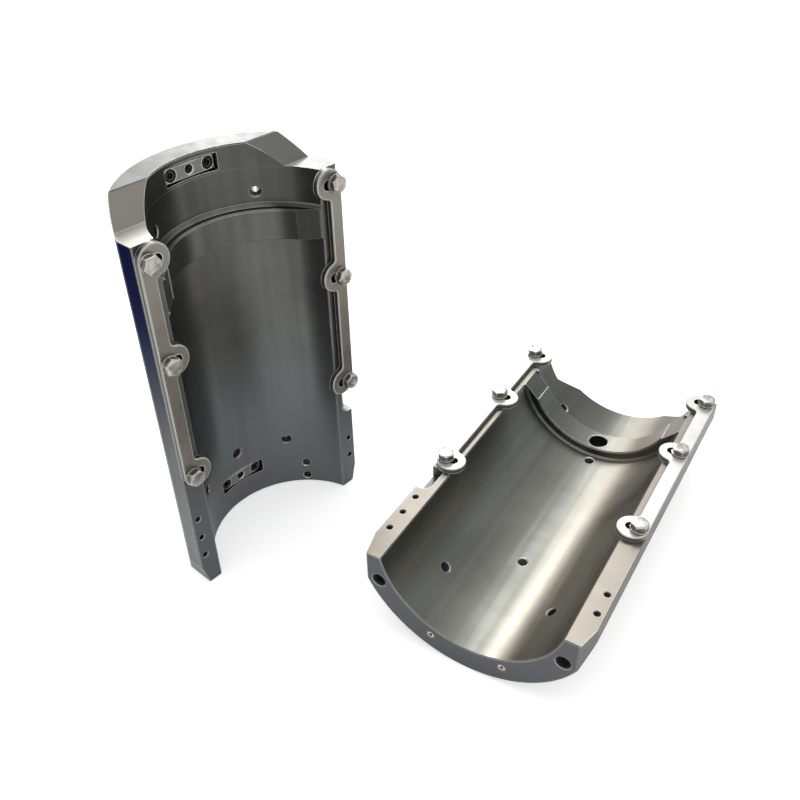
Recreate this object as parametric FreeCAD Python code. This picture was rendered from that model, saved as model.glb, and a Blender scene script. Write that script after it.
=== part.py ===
"""Blow mould shell pair: two half shells that carry the halves of a bottle mould.

One half stands on its bottom end, the other lies on its round back. Every piece is drawn in the
frame of its own half: x runs across the parting face, y runs from that face into the metal and
z runs along the shell from its bottom end. All sizes are millimetres.
"""
import FreeCAD, Part
import math
import os

V = FreeCAD.Vector

# Half shell
bore_radius = 78.0
wall_thickness = 22.0
side_flat_cut = 6.0
axis_recess = 18.5
shell_length = 345.0
edge_break = 0.8

# Top end: a low land behind the parting face, then a slope up to the full length
land_drop = 20.0
land_depth = 26.0
slope_degrees = 45.0

# Bottom corners of the parting face
corner_across = 5.5
corner_height = 22.0

# Ring that stands out of the bore wall and locates the bottle mould
ring_stand = 9.0
ring_height = 26.0
ring_below_land = 32.0
ring_lead_in = 14.0
ring_bevel = 1.2
ring_foot_bevel = 1.5
ring_root_bevel = 3.0

# Clamping strips
strip_thickness = 5.0
strip_edge_inset = 0.3
strip_width = 11.8
lobe_radius = 12.6
lobe_blend = 4.0
strip_bevel = 0.7
slot_clearance = 0.5
strip_travel = 7.0
upper_bolt_spacing = 81.0
low_bolt_height = 125.4

# Hexagon bolts and washers of the strips
bolt_inset = 7.5
bolt_diameter = 8.0
bolt_grip = 16.0
head_height = 5.3
head_across_flats = 13.0
head_crown = 0.8
washer_diameter = 15.0
washer_bore = 8.4
washer_thickness = 1.6
hole_spare_depth = 4.0

# Notch in one outer edge of each parting face, at the lower end of the strip
notch_length = 29.8
notch_overlap = 3.0
notch_depth = 12.0
notch_corner_radius = 8.0

# Tapped holes in the lower part of the parting face
leg_hole_inset = 6.5
leg_hole_diameter = 5.0
leg_hole_depth = 14.0
leg_hole_first = 33.5
leg_hole_pitch = 20.5
left_leg_hole_count = 3
right_leg_hole_count = 2
hole_bevel = 0.6

# Holes through the wall, two on each side of the middle line
wall_hole_angle = 37.0
low_wall_hole = 54.0
high_wall_hole_drop = 40.0
wall_hole_diameter = 8.2
wall_hole_bevel = 0.9

# Screw holes on the middle line of each half, counterbored on the back
standing_centre_hole = 57.5
lying_centre_hole = 105.0
ring_foot_hole_drop = 9.0
centre_hole_diameter = 8.8
counterbore_diameter = 14.0
counterbore_depth = 9.0

# Round window through the ring of the lying half
window_diameter = 18.0

# Pair of small dowel holes near the bottom end of the standing half
dowel_angle = 49.0
dowel_diameter = 7.6
dowel_depth = 10.0
dowel_heights = (7.3, 23.3)

# Bottom end: tapped fixing holes beside the parting faces and coolant channels behind the bore
end_hole_depth_place = 25.0
end_hole_diameter = 12.0
end_hole_length = 28.0
channel_across = 31.0
channel_wall = 8.5
channel_diameter = 6.0
channel_length = 60.0
plug_length = 8.0
plug_recess = 0.5
plug_key = 3.0

# Locking bars let into the bore wall of the standing half
bar_length = 46.0
bar_width = 12.0
bar_thickness = 9.0
bar_bevel = 0.6
bar_clearance = 0.8
bar_screw_spacing = 34.0
bar_eye_diameter = 7.0
top_bar_drop = 11.0
bottom_bar_height = 30.5
bar_pocket_spare = 3.0

# Socket screws of the bars
socket_head_diameter = 10.0
socket_head_height = 6.0
socket_shank_diameter = 6.0
socket_shank_length = 10.0
socket_key = 5.0
socket_key_depth = 3.0
screw_sink = 0.4

# Radial clearance of everything that sits in a hole, and how far cutters run past a face
fit_clearance = 0.1
overrun = 2.0

# Place of the lying half on the floor, from the foot of the standing half
lying_offset_x = -11.2
lying_offset_y = -222.2
lying_turn_degrees = 11.0

LEFT = -1
RIGHT = 1

outer_radius = bore_radius + wall_thickness
flat_half_width = outer_radius - side_flat_cut
ring_radius = bore_radius - ring_stand
channel_radius = bore_radius + channel_wall
land_height = shell_length - land_drop
ring_top = land_height - ring_below_land
ring_bottom = ring_top - ring_height
bore_depth = bore_radius - axis_recess
strip_outer = flat_half_width - strip_edge_inset
strip_inner = strip_outer - strip_width
lobe_across = strip_outer - lobe_radius
top_bolt = land_height - lobe_radius
middle_bolt = top_bolt - upper_bolt_spacing
bolt_heights = (low_bolt_height, middle_bolt, top_bolt)
bolt_across = flat_half_width - bolt_inset


def half_width(radius, depth):
    """Half the width of a circle about the shell axis, at a depth behind the parting face."""
    return math.sqrt(radius ** 2 - (depth + axis_recess) ** 2)


def depth_at(radius, across):
    """Depth behind the parting face where a circle about the shell axis has this half width."""
    return math.sqrt(radius ** 2 - across ** 2) - axis_recess


def prism(points, direction):
    """Solid swept from a flat closed outline."""
    outline = Part.makePolygon(points + [points[0]])
    return Part.Face(outline).extrude(direction)


def regular_prism(across_flats, height, base):
    """Hexagonal prism standing on a point, with two of its corners on the x axis."""
    corner = across_flats / 2 / math.cos(math.pi / 6)
    points = [base + V(corner * math.cos(k * math.pi / 3), corner * math.sin(k * math.pi / 3), 0)
              for k in range(6)]
    return prism(points, V(0, 0, height))


def revolve(points, axis_point, axis_direction):
    """Solid turned from a closed half profile of straight lines."""
    profile = Part.Face(Part.makePolygon(points + [points[0]]))
    return profile.revolve(axis_point, axis_direction, 360)


def countersunk(diameter, depth, bevel):
    """Cutter for a blind hole that opens at the origin and runs along +z, its rim bevelled."""
    radius = diameter / 2
    wide = radius + bevel
    return revolve([V(0, 0, -overrun), V(wide, 0, -overrun), V(wide, 0, 0), V(radius, 0, bevel),
                    V(radius, 0, depth), V(0, 0, depth)], V(0, 0, 0), V(0, 0, 1))


def turned(shape, direction, place):
    """The shape with its +z axis turned to a direction and its origin moved to a place."""
    moved = shape.copy()
    moved.Placement = FreeCAD.Placement(place, FreeCAD.Rotation(V(0, 0, 1), direction))
    return moved


def blank():
    """Outer form of one half: a round back, two side flats and a flat parting face."""
    shoulder = depth_at(outer_radius, flat_half_width)
    back = outer_radius - axis_recess
    left_foot = V(-flat_half_width, 0, 0)
    left_shoulder = V(-flat_half_width, shoulder, 0)
    right_shoulder = V(flat_half_width, shoulder, 0)
    right_foot = V(flat_half_width, 0, 0)
    edges = [Part.makeLine(left_foot, left_shoulder),
             Part.Arc(left_shoulder, V(0, back, 0), right_shoulder).toShape(),
             Part.makeLine(right_shoulder, right_foot),
             Part.makeLine(right_foot, left_foot)]
    return Part.Face(Part.Wire(edges)).extrude(V(0, 0, shell_length))


def core():
    """The space inside the half: the bore, the ring's smaller bore and the bore above it."""
    low = -overrun
    high = shell_length + overrun
    points = [V(0, 0, low), V(bore_radius, 0, low), V(bore_radius, 0, ring_bottom - ring_foot_bevel),
              V(bore_radius - ring_foot_bevel, 0, ring_bottom),
              V(ring_radius + ring_bevel, 0, ring_bottom), V(ring_radius, 0, ring_bottom + ring_bevel),
              V(ring_radius, 0, ring_top - ring_bevel), V(ring_radius + ring_bevel, 0, ring_top),
              V(bore_radius - ring_root_bevel, 0, ring_top),
              V(bore_radius, 0, ring_top + ring_root_bevel), V(bore_radius, 0, high), V(0, 0, high)]
    turned_core = revolve(points, V(0, 0, 0), V(0, 0, 1))
    turned_core.translate(V(0, -axis_recess, 0))
    return turned_core


def ring_lead_in_cutter():
    """Slanted lead-ins that open the ring towards the parting face."""
    mouth = half_width(bore_radius, 0)
    points = [V(-mouth, -overrun, ring_bottom), V(mouth, -overrun, ring_bottom),
              V(mouth, 0, ring_bottom), V(mouth - ring_lead_in, ring_lead_in, ring_bottom),
              V(ring_lead_in - mouth, ring_lead_in, ring_bottom), V(-mouth, 0, ring_bottom)]
    return prism(points, V(0, 0, ring_height))


def top_end_cutter():
    """Cuts the land behind the parting face and the slope that rises from it."""
    rise = land_drop / math.tan(math.radians(slope_degrees))
    spare_rise = overrun / math.tan(math.radians(slope_degrees))
    side = -outer_radius - overrun
    high = shell_length + overrun
    points = [V(side, -overrun, land_height), V(side, land_depth, land_height),
              V(side, land_depth + rise + spare_rise, high), V(side, -overrun, high)]
    return prism(points, V(-2 * side, 0, 0))


def bottom_corner_cutter(side):
    """Cuts the slanted bottom corner on one side of the half."""
    inner = flat_half_width - corner_across
    slope = corner_across / corner_height
    points = [V(side * (inner - slope * overrun), 0, -overrun),
              V(side * (flat_half_width + slope * overrun), 0, corner_height + overrun),
              V(side * (outer_radius + overrun), 0, corner_height + overrun),
              V(side * (outer_radius + overrun), 0, -overrun)]
    cutter = prism(points, V(0, 2 * outer_radius, 0))
    cutter.translate(V(0, -overrun, 0))
    return cutter


def broken_edges(shape):
    """Breaks the long sharp edges of the parting face and the edges of the two ends."""
    chosen = []
    for edge in shape.Edges:
        box = edge.BoundBox
        on_face = box.YMax < overrun / 100 and box.ZLength > ring_height + overrun
        at_bottom = box.ZMax < overrun / 100
        at_top = box.ZMin > shell_length - overrun / 100
        if on_face or at_bottom or at_top:
            chosen.append(edge)
    return shape.makeChamfer(edge_break, chosen)


def plain_half():
    """One half with its bore, ring, shaped ends and broken edges, before any hole is drilled."""
    body = blank().cut(core()).cut(ring_lead_in_cutter()).cut(top_end_cutter())
    for side in (LEFT, RIGHT):
        body = body.cut(bottom_corner_cutter(side))
    return broken_edges(body)


def face_holes():
    """Cutters for the strip bolts and the tapped holes in the lower part of the parting face."""
    bolt_hole = Part.makeCylinder(bolt_diameter / 2 + fit_clearance, bolt_grip + hole_spare_depth)
    leg_hole = countersunk(leg_hole_diameter, leg_hole_depth, hole_bevel)
    leg_across = flat_half_width - leg_hole_inset
    cutters = []
    for side, leg_count in ((LEFT, left_leg_hole_count), (RIGHT, right_leg_hole_count)):
        for height in bolt_heights:
            cutters.append(turned(bolt_hole, V(0, 1, 0), V(side * bolt_across, 0, height)))
        for k in range(leg_count):
            height = leg_hole_first + k * leg_hole_pitch
            cutters.append(turned(leg_hole, V(0, 1, 0), V(side * leg_across, 0, height)))
    return cutters


def end_holes():
    """Cutters for the tapped holes and the coolant channels in the bottom end."""
    fixing = countersunk(end_hole_diameter, end_hole_length, hole_bevel)
    channel = Part.makeCylinder(channel_diameter / 2, channel_length)
    end_hole_across = half_width(bore_radius + wall_thickness / 2, end_hole_depth_place)
    cutters = []
    for side in (LEFT, RIGHT):
        cutters.append(turned(fixing, V(0, 0, 1), V(side * end_hole_across, end_hole_depth_place, 0)))
        cutters.append(turned(channel, V(0, 0, 1), channel_place(side)))
    return cutters


def channel_place(side):
    """Centre of a coolant channel in the bottom end."""
    return V(side * channel_across, depth_at(channel_radius, channel_across), 0)


def radial(angle_degrees):
    """Direction from the shell axis to the wall, at an angle from the middle of the back."""
    angle = math.radians(angle_degrees)
    return V(math.sin(angle), math.cos(angle), 0)


def wall_point(angle_degrees, radius, height):
    """Point at a radius from the shell axis."""
    return V(0, -axis_recess, height) + radial(angle_degrees) * radius


def wall_cutter(angle_degrees, height, diameter, depth, start_radius, bevel):
    """Radial hole that opens at a radius and runs outwards to a depth, its mouth bevelled."""
    hole = countersunk(diameter, depth, bevel)
    return turned(hole, radial(angle_degrees), wall_point(angle_degrees, start_radius, height))


def wall_holes():
    """Cutters for the four plain holes through the wall."""
    depth = wall_thickness + overrun
    return [wall_cutter(side * wall_hole_angle, height, wall_hole_diameter, depth,
                        bore_radius, wall_hole_bevel)
            for side in (LEFT, RIGHT)
            for height in (low_wall_hole, shell_length - high_wall_hole_drop)]


def screw_hole(height):
    """Hole on the middle line, with its counterbore on the back."""
    hole = wall_cutter(0, height, centre_hole_diameter, wall_thickness, bore_radius, wall_hole_bevel)
    sink = Part.makeCylinder(counterbore_diameter / 2, counterbore_depth + overrun,
                             wall_point(0, outer_radius - counterbore_depth, height), radial(0))
    return hole.fuse(sink)


def notch_cutter(side):
    """Milled notch in the outer edge of the parting face, ending under the strip's lower end."""
    top = low_bolt_height - lobe_radius + notch_overlap
    outer = outer_radius + overrun
    block = Part.makeBox(outer - strip_inner, notch_depth + overrun, notch_length,
                         V(strip_inner, -overrun, top - notch_length))
    corner = [edge for edge in block.Edges
              if edge.BoundBox.XMax < strip_inner + overrun and edge.BoundBox.ZLength < overrun
              and edge.BoundBox.YLength > overrun and edge.BoundBox.ZMax < top - overrun]
    block = block.makeFillet(notch_corner_radius, corner)
    if side == LEFT:
        block = block.mirror(V(0, 0, 0), V(1, 0, 0))
    return block


def bar_pocket(height):
    """Square pocket for a locking bar, with the tapped holes of its two screws."""
    length = bar_length + 2 * bar_clearance
    width = bar_width + 2 * bar_clearance
    sagitta = bore_radius - math.sqrt(bore_radius ** 2 - (length / 2) ** 2)
    front = bore_depth - sagitta - bar_pocket_spare
    pocket = Part.makeBox(length, bore_depth + bar_thickness - front, width,
                          V(-length / 2, front, height - width / 2))
    for side in (LEFT, RIGHT):
        place = V(side * bar_screw_spacing / 2, bore_depth, height)
        hole_depth = bar_thickness + socket_shank_length + overrun
        radius = socket_shank_diameter / 2 + fit_clearance
        pocket = pocket.fuse(Part.makeCylinder(radius, hole_depth, place, V(0, 1, 0)))
    return pocket


def standing_shell():
    """The half that stands on its bottom end, with the pockets of its two locking bars."""
    cutters = face_holes() + end_holes() + wall_holes()
    cutters.append(notch_cutter(RIGHT))
    cutters.append(screw_hole(standing_centre_hole))
    for height in dowel_heights:
        cutters.append(wall_cutter(dowel_angle, height, dowel_diameter, dowel_depth,
                                   bore_radius, hole_bevel))
    cutters.append(bar_pocket(shell_length - top_bar_drop))
    cutters.append(bar_pocket(bottom_bar_height))
    return plain_half().cut(cutters)


def lying_shell():
    """The half that lies on its back, with a round window through its ring."""
    cutters = face_holes() + end_holes() + wall_holes()
    cutters.append(notch_cutter(LEFT))
    cutters.append(screw_hole(lying_centre_hole))
    cutters.append(screw_hole(ring_bottom - ring_foot_hole_drop))
    window_depth = outer_radius + overrun - ring_radius
    cutters.append(wall_cutter(0, ring_bottom + ring_height / 2, window_diameter, window_depth,
                               ring_radius, wall_hole_bevel))
    return plain_half().cut(cutters)


def strip(side):
    """Flat clamping strip with three lobes and a cross slot at each bolt."""
    body = Part.makeBox(strip_width, strip_thickness, top_bolt - low_bolt_height,
                        V(strip_inner, -strip_thickness, low_bolt_height))
    for height in bolt_heights:
        place = V(lobe_across, -strip_thickness, height)
        body = body.fuse(Part.makeCylinder(lobe_radius, strip_thickness, place, V(0, 1, 0)))
    body = body.removeSplitter()
    necks = [edge for edge in body.Edges
             if edge.BoundBox.YLength > strip_thickness / 2
             and abs(edge.BoundBox.Center.x - strip_inner) < slot_clearance]
    body = body.makeFillet(lobe_blend, necks)
    rim = [edge for edge in body.Edges if edge.BoundBox.YMax < -strip_thickness / 2]
    body = body.makeChamfer(strip_bevel, rim)
    body = body.cut([slot_cutter(height) for height in bolt_heights])
    if side == LEFT:
        body = body.mirror(V(0, 0, 0), V(1, 0, 0))
    return body


def slot_cutter(height):
    """Round-ended cross slot: the strip can slide outwards past its bolt by the travel."""
    radius = bolt_diameter / 2 + slot_clearance
    start = bolt_across - strip_travel
    depth = strip_thickness + 2 * overrun
    front = -strip_thickness - overrun
    slot = Part.makeBox(strip_travel, depth, 2 * radius, V(start, front, height - radius))
    for across in (start, bolt_across):
        slot = slot.fuse(Part.makeCylinder(radius, depth, V(across, front, height), V(0, 1, 0)))
    return slot


def bolt():
    """Hexagon bolt along +z, with the underside of its head at the origin."""
    head = regular_prism(head_across_flats, head_height, V(0, 0, -head_height))
    top = [edge for edge in head.Edges if edge.BoundBox.ZMax < -head_height / 2]
    head = head.makeChamfer(head_crown, top)
    length = washer_thickness + strip_thickness + bolt_grip
    shank = Part.makeCylinder(bolt_diameter / 2, length, V(0, 0, 0), V(0, 0, 1))
    return head.fuse(shank)


def washer():
    """Flat washer along +z, starting at the origin."""
    disc = Part.makeCylinder(washer_diameter / 2, washer_thickness)
    return disc.cut(Part.makeCylinder(washer_bore / 2, washer_thickness))


def at_each_bolt(shape, front, side):
    """Three copies of a piece on the bolt axes of one side."""
    return Part.makeCompound([turned(shape, V(0, 1, 0), V(side * bolt_across, -front, height))
                              for height in bolt_heights])


def bolts(side):
    """The three bolts of one strip."""
    return at_each_bolt(bolt(), strip_thickness + washer_thickness, side)


def washers(side):
    """The three washers of one strip."""
    return at_each_bolt(washer(), strip_thickness + washer_thickness, side)


def bar_holes(height, front):
    """Cutters for the two counterbored screw holes and the tapped eye of a locking bar."""
    cutters = []
    sink = socket_head_height + screw_sink
    for side in (LEFT, RIGHT):
        place = V(side * bar_screw_spacing / 2, front, height)
        head = Part.makeCylinder(socket_head_diameter / 2 + 2 * fit_clearance, sink, place, V(0, 1, 0))
        shank = Part.makeCylinder(socket_shank_diameter / 2 + 2 * fit_clearance,
                                  bar_thickness, place, V(0, 1, 0))
        cutters.append(head.fuse(shank))
    eye = countersunk(bar_eye_diameter, bar_thickness + overrun, hole_bevel)
    cutters.append(turned(eye, V(0, 1, 0), V(0, front, height)))
    return cutters


def square_bar(height):
    """Locking bar with square ends."""
    body = Part.makeBox(bar_length, bar_thickness, bar_width,
                        V(-bar_length / 2, bore_depth, height - bar_width / 2))
    front = [edge for edge in body.Edges if edge.BoundBox.YMax < bore_depth + bar_bevel]
    return body.makeChamfer(bar_bevel, front).cut(bar_holes(height, bore_depth))


def round_bar(height):
    """Locking bar with half-round ends."""
    reach = (bar_length - bar_width) / 2
    body = Part.makeBox(2 * reach, bar_thickness, bar_width,
                        V(-reach, bore_depth, height - bar_width / 2))
    for side in (LEFT, RIGHT):
        place = V(side * reach, bore_depth, height)
        body = body.fuse(Part.makeCylinder(bar_width / 2, bar_thickness, place, V(0, 1, 0)))
    body = body.removeSplitter()
    front = [edge for edge in body.Edges if edge.BoundBox.YMax < bore_depth + bar_bevel]
    return body.makeChamfer(bar_bevel, front).cut(bar_holes(height, bore_depth))


def socket_screw():
    """Socket-head screw along +z, with the top of its head at the origin."""
    head = Part.makeCylinder(socket_head_diameter / 2, socket_head_height)
    key = regular_prism(socket_key, socket_key_depth, V(0, 0, 0))
    length = bar_thickness - screw_sink + socket_shank_length
    shank = Part.makeCylinder(socket_shank_diameter / 2, length)
    return head.fuse(shank).cut(key)


def bar_screws(height):
    """The two screws of one locking bar."""
    places = [V(side * bar_screw_spacing / 2, bore_depth + screw_sink, height)
              for side in (LEFT, RIGHT)]
    return Part.makeCompound([turned(socket_screw(), V(0, 1, 0), place) for place in places])


def plugs():
    """Screw plugs that close the coolant channels at the bottom end."""
    body = Part.makeCylinder(channel_diameter / 2 - fit_clearance, plug_length)
    body = body.cut(regular_prism(plug_key, plug_length / 2, V(0, 0, 0)))
    return Part.makeCompound([turned(body, V(0, 0, 1), channel_place(side) + V(0, 0, plug_recess))
                              for side in (LEFT, RIGHT)])


def common_pieces(name):
    """The pieces that both halves have, in the frame of a half."""
    pieces = {name + "_channel_plugs": plugs()}
    for word, side in (("left", LEFT), ("right", RIGHT)):
        pieces[name + "_" + word + "_strip"] = strip(side)
        pieces[name + "_" + word + "_bolts"] = bolts(side)
        pieces[name + "_" + word + "_washers"] = washers(side)
    return pieces


def standing_half():
    """Every piece of the half that stands, whose frame is the frame of the pair."""
    top_bar = shell_length - top_bar_drop
    pieces = {"standing_shell": standing_shell(),
              "top_lock_bar": square_bar(top_bar),
              "top_bar_screws": bar_screws(top_bar),
              "bottom_lock_bar": round_bar(bottom_bar_height),
              "bottom_bar_screws": bar_screws(bottom_bar_height)}
    pieces.update(common_pieces("standing"))
    return pieces


def lying_half():
    """Every piece of the half that lies on its back beside the standing one."""
    turn = math.radians(lying_turn_degrees)
    across = V(math.sin(turn), -math.cos(turn), 0)
    along = V(math.cos(turn), math.sin(turn), 0)
    place = V(lying_offset_x, lying_offset_y, outer_radius - axis_recess)
    rotation = FreeCAD.Rotation(across, V(0, 0, -1), along, "ZXY")
    pieces = {"lying_shell": lying_shell()}
    pieces.update(common_pieces("lying"))
    matrix = FreeCAD.Placement(place, rotation).toMatrix()
    return {name: shape.transformed(matrix) for name, shape in pieces.items()}


def main():
    """Builds both halves, centres the pair over the origin and writes one file for each node."""
    pieces = standing_half()
    pieces.update(lying_half())
    box = Part.makeCompound(list(pieces.values())).optimalBoundingBox(False, False)
    centre = V(box.Center.x, box.Center.y, box.ZMin)
    os.makedirs("parts", exist_ok=True)
    for name, shape in pieces.items():
        shape.translate(-centre)
        shape.exportStep("parts/" + name + ".step")
        print(name, len(shape.Solids), "solids, valid:", shape.isValid(), round(shape.Volume))
    print("box", round(box.XLength, 3), round(box.YLength, 3), round(box.ZLength, 3))


main()
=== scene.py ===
"""Looks for the blow mould shell pair: finishes for the shells, strips, bars and plugs, and
modelled bolts, washers, socket screws, hole rims and threads.

Each half has its own frame: x runs across the parting face, y from that face into the metal and
z along the shell from its bottom end.
"""

import math
from collections import namedtuple

import bpy
from bpy.props import FloatProperty, FloatVectorProperty, IntProperty, PointerProperty
from bpy.types import Operator, Panel, PropertyGroup
from mathutils import Matrix, Vector


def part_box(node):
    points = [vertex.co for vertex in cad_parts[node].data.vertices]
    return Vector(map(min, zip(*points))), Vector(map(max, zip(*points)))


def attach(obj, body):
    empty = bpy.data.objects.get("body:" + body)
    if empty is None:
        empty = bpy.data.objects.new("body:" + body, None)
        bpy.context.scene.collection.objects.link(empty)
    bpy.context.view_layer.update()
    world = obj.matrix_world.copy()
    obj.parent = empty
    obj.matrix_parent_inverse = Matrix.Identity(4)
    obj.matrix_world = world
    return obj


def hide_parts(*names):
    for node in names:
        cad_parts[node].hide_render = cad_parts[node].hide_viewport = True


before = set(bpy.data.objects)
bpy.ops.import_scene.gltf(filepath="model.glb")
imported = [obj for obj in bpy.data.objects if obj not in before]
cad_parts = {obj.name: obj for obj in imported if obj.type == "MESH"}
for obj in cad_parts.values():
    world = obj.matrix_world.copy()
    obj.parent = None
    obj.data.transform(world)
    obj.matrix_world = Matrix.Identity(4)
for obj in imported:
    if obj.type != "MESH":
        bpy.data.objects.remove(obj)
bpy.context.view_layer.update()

bl_info = {
    "name": "Blow Mould Shell Pair",
    "version": (1, 0, 0),
    "blender": (4, 5, 0),
    "location": "View3D > Sidebar > Mould",
    "description": "Finishes and fittings for a pair of blow mould shells",
    "category": "Object",
}

MM = 0.001
HALVES = ("standing", "lying")
SIDES = (("left", -1), ("right", 1))
LEVELS = ("low", "middle", "top")
BODY = "shells"
SHARP_ANGLE = math.radians(35)

# Measures of a half; the axis of the bore lies before the parting face
AXIS_RECESS = 18.5 * MM
BORE_RADIUS = 78 * MM
RING_RADIUS = BORE_RADIUS - 9 * MM
OUTER_RADIUS = 100 * MM
LAND_HEIGHT = 325 * MM
TOP_HEIGHT = 345 * MM

# Foot of each half, at the middle of its parting face on the bottom end
LYING_TURN = math.radians(11.0)
LYING_OFFSET = (-11.2 * MM, -222.2 * MM)
STANDING_LOW, STANDING_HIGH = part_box("standing_shell")
STANDING_FOOT = Vector(((STANDING_LOW.x + STANDING_HIGH.x) / 2, STANDING_LOW.y, STANDING_LOW.z))
LYING_FOOT = STANDING_FOOT + Vector((*LYING_OFFSET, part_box("lying_shell")[1].z))

# The photograph's camera, from the foot of the standing half
CAMERA_PLACE = Vector((-0.35995, -0.48516, 0.58603))
CAMERA_HEADING = math.radians(46.997)
CAMERA_PITCH = math.radians(36.6)
CAMERA_ROLL = math.radians(-1.468)
CAMERA_LENS = 39.83
SENSOR_WIDTH = 36.0

# Holes by kind, in mm: radius, bevel, bare share of the bevel, pitch of the thread (0 for none)
# and how deep the wall is modelled (0 for no wall)
HOLE_KINDS = {
    "wall": (4.1, 0.9, 0.6, 1.25, 9),
    "leg": (2.5, 0.6, 0.6, 0.8, 8),
    "end": (6, 0.6, 0.6, 1.75, 16),
    "eye": (3.5, 0.6, 0.8, 1.25, 8),
    "tapped": (4.4, 0.9, 0.6, 1.25, 9),
    "centre": (4.4, 0.9, 0.95, 0, 9),
    "dowel": (3.8, 0.6, 0.9, 0, 8.5),
    "window": (9, 0.9, 0.8, 0, 0),
}

# Holes of the bore wall by kind: half, name, degrees from the middle and height in mm
BORE_HOLES = {
    "wall": [(half, level + "_" + side, sign * 37, height) for half in HALVES
             for side, sign in SIDES for level, height in (("low", 54), ("high", 305))],
    "tapped": [("standing", "low", 0, 57.5)],
    "centre": [("lying", "low", 0, 105), ("lying", "high", 0, 258)],
    "dowel": [("standing", "low", 49, 7.3), ("standing", "high", 49, 23.3)],
    "window": [("lying", "middle", 0, 280)],
}

# Holes of the legs, of the bottom ends and of the bars
LEG_HOLES = {"left": 3, "right": 2}
LEG_HOLE_ACROSS, LEG_HOLE_START, LEG_HOLE_SPACING = 87.5 * MM, 33.5 * MM, 20.5 * MM
END_HOLE_ACROSS, END_HOLE_DEEP = 77.645 * MM, 25 * MM
EYE_HEIGHTS = {"bottom": 30.5 * MM, "top": 334 * MM}

# Painted light and shade: tones of the faces that differ from the colour of their shell, where the faces
# are lit, shaded or mirror the room
STANDING_LIGHT_AND_SHADE = {
    "cool reflecting face": (0.125, 0.130, 0.140), "cool reflecting bore": (0.175, 0.192, 0.197),
    "lit left slope": (0.185, 0.176, 0.153), "shaded right slope": (0.118, 0.120, 0.108),
    "lit pale side": (0.22, 0.226, 0.236), "blue reflecting side": (0.019, 0.025, 0.054),
    "blue reflection tint": (0.10, 0.14, 0.30),
    "lit left land": (0.26, 0.248, 0.22), "shaded right land": (0.105, 0.108, 0.098),
}
LYING_LIGHT_AND_SHADE = {
    "lit warm bore": (0.275, 0.243, 0.203), "shaded bore": (0.058, 0.068, 0.066),
    "bottom end": (0.120, 0.124, 0.136),
    "lit left face": (0.165, 0.151, 0.128), "lit right face": (0.225, 0.205, 0.175),
}
# Edge colours: bare metal rubbed bright, and painted edge highlights
RUBBED_AND_HIGHLIT_ALUMINIUM = (0.70, 0.69, 0.66)
RUBBED_AND_HIGHLIT_STEEL = (0.95, 0.94, 0.90)
# Painted shade in the gaps and corners
CONTACT_SHADE_COLOUR = (0.012, 0.012, 0.012)

# The lying strips mirror less of the room, and so look whiter
STRIP_METALLIC = {"standing": 0.6, "lying": 0.45}

# Stretch of the grinding lines, which run along or across a half
LINES_ALONG = (1, 1, 0.05)
LINES_ACROSS = (0.05, 1, 1)

# Area lamps: name, place, watts, width and height
AREA_LAMPS = (("softbox", (1.23, 1.37, 1.64), 40, 1.85, 1.7),
              ("strip_light", (1.06, 1.763, 1.34), 6, 0.34, 0.6))

# Sockets for a point of a shell: its place in the frame of its half, its radius and angle round
# the bore, and inside, which is 1 on the bore and its ring
Spot = namedtuple("Spot", "point x y z radius angle inside")


def half_matrix(half):
    """Matrix that takes the frame of a half to the frame of the pair."""
    if half == "standing":
        return Matrix.Translation(STANDING_FOOT)
    across = Vector((math.sin(LYING_TURN), -math.cos(LYING_TURN), 0))
    along = Vector((math.cos(LYING_TURN), math.sin(LYING_TURN), 0))
    rows = Matrix((across, Vector((0, 0, -1)), along)).transposed()
    return Matrix.Translation(LYING_FOOT) @ rows.to_4x4()


class MouldSizes(PropertyGroup):
    """Sizes of the small fittings."""
    bolt_across: FloatProperty(name="Bolt place", description="From the middle of the half to a bolt",
                               default=86.5 * MM, unit="LENGTH")
    bolt_heights: FloatVectorProperty(name="Bolt heights", description="From the bottom end",
                                      default=(125.4 * MM, 231.4 * MM, 312.4 * MM), unit="LENGTH")
    strip_thickness: FloatProperty(name="Strip thickness", description="Thickness of a clamping strip",
                                   default=5 * MM, unit="LENGTH")
    head_width: FloatProperty(name="Head across flats", description="Hexagon of a bolt",
                              default=13 * MM, unit="LENGTH")
    head_height: FloatProperty(name="Head height", description="Height of a bolt head",
                               default=5.3 * MM, unit="LENGTH")
    shank: FloatProperty(name="Bolt shank", description="Shank diameter of a bolt",
                         default=8 * MM, unit="LENGTH")
    grip: FloatProperty(name="Bolt grip", description="Length of a bolt in the shell",
                        default=16 * MM, unit="LENGTH")
    washer_width: FloatProperty(name="Washer", description="Outer diameter of a washer",
                                default=15 * MM, unit="LENGTH")
    washer_bore: FloatProperty(name="Washer bore", description="Bore of a washer",
                               default=8.4 * MM, unit="LENGTH")
    washer_thickness: FloatProperty(name="Washer thickness", description="Thickness of a washer",
                                    default=1.6 * MM, unit="LENGTH")
    screw_head: FloatProperty(name="Screw head", description="Head diameter of a socket screw",
                              default=10 * MM, unit="LENGTH")
    screw_key: FloatProperty(name="Screw key", description="Across flats of a screw's socket",
                             default=5 * MM, unit="LENGTH")
    screw_spacing: FloatProperty(name="Screw spacing", description="Between the screws of a bar",
                                 default=34 * MM, unit="LENGTH")
    steps: IntProperty(name="Steps", description="Steps round a turned piece", default=48)


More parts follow.
